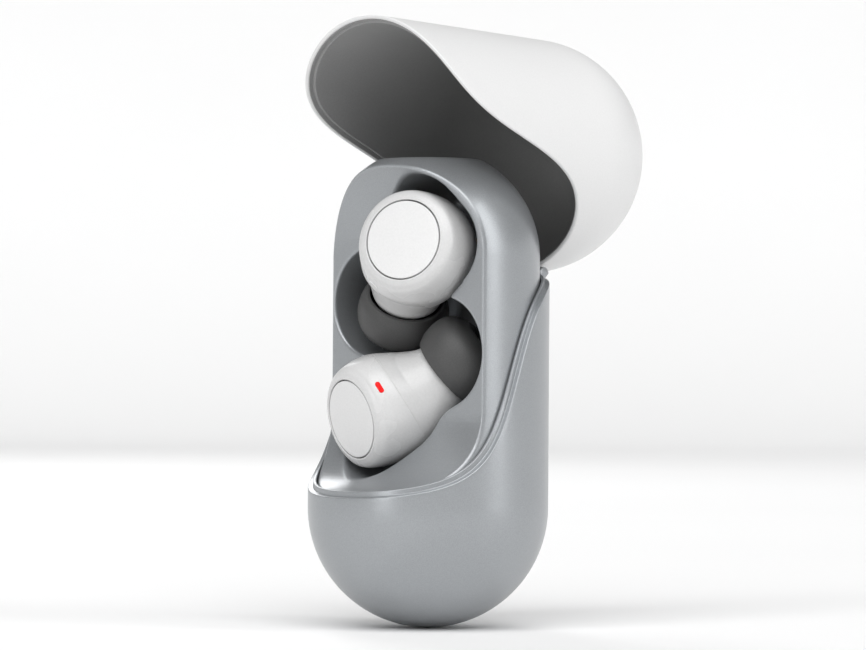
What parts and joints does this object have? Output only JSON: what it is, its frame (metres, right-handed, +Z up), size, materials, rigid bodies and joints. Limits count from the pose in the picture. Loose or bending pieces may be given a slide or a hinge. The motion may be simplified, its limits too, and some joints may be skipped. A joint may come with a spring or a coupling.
{
  "type": "wireless earbuds case",
  "caption": "Upright capsule charging case with a rear-hinged white lid, silver base and frame, and earbuds that pull out to the front.",
  "frame": {"origin": "centre of the base's round end, on the capsule's axis, where a hand holds it", "axes": "+Z up along the capsule, +Y towards the hinge at the back, -Y the open front, +X the right side seen from the front"},
  "size_m": [0.0376, 0.0595, 0.0946],
  "materials": {
    "case_silver": "metallic silver paint, satin",
    "frame_silver": "metallic silver paint, satin",
    "lid_white": "satin white",
    "liner_grey": "satin dark grey",
    "earbud_white": "soft gloss white",
    "touch_white": "soft gloss white, fine grey edge ring",
    "silicone": "matt silicone",
    "indicator_red": "translucent red window",
    "steel": "fine brushed",
    "gold": "plated",
    "magnet": "nickel plated",
    "battery_foil": "foil wrap",
    "circuit_board": "green solder mask",
    "chip": "matt black",
    "foam": "closed-cell foam",
    "speaker_dark": "matt dark grey"
  },
  "bodies": {
    "base": {"outer_shell": "case_silver", "inner_frame": "frame_silver", "hinge_pin": "steel", "case_battery": "battery_foil", "battery_pad": "foam", "case_pcb": "circuit_board", "pcb_screw_left": "steel", "pcb_screw_right": "steel", "usb_c_connector": "steel", "charge_controller": "chip", "hall_sensor": "chip", "base_magnet": "magnet", "pogo_pin_left_inner": "gold", "pogo_pin_left_outer": "gold", "pin_board_left": "circuit_board", "retention_magnet_left": "magnet", "pogo_pin_right_inner": "gold", "pogo_pin_right_outer": "gold", "pin_board_right": "circuit_board", "retention_magnet_right": "magnet"},
    "lid": {"lid_shell": "lid_white", "lid_liner": "liner_grey", "lid_magnet": "magnet"},
    "earbud_left": {"left_front_cover": "earbud_white", "left_touch_disk": "touch_white", "left_rear_housing": "earbud_white", "left_ear_tip": "silicone", "left_nozzle_mesh": "steel", "left_led_lens": "indicator_red", "left_contact_inner": "gold", "left_contact_outer": "gold", "left_control_board": "circuit_board", "left_cell": "battery_foil", "left_speaker": "speaker_dark", "left_magnet": "magnet"},
    "earbud_right": {"right_front_cover": "earbud_white", "right_touch_disk": "touch_white", "right_rear_housing": "earbud_white", "right_ear_tip": "silicone", "right_nozzle_mesh": "steel", "right_led_lens": "indicator_red", "right_contact_inner": "gold", "right_contact_outer": "gold", "right_control_board": "circuit_board", "right_cell": "battery_foil", "right_speaker": "speaker_dark", "right_magnet": "magnet"}
  },
  "joints": [
    {"name": "lid_hinge", "type": "hinge", "parent": "base", "child": "lid", "pos_m": [0, 0.0191, 0.03675], "axis": [-1, 0, 0], "range_deg": [-92, 0]},
    {"name": "earbud_left_lift", "type": "slide", "parent": "base", "child": "earbud_left", "axis": [0, -1, 0], "range_m": [0, 0.029]},
    {"name": "earbud_right_lift", "type": "slide", "parent": "base", "child": "earbud_right", "axis": [0, -1, 0], "range_m": [0, 0.029]}
  ]
}
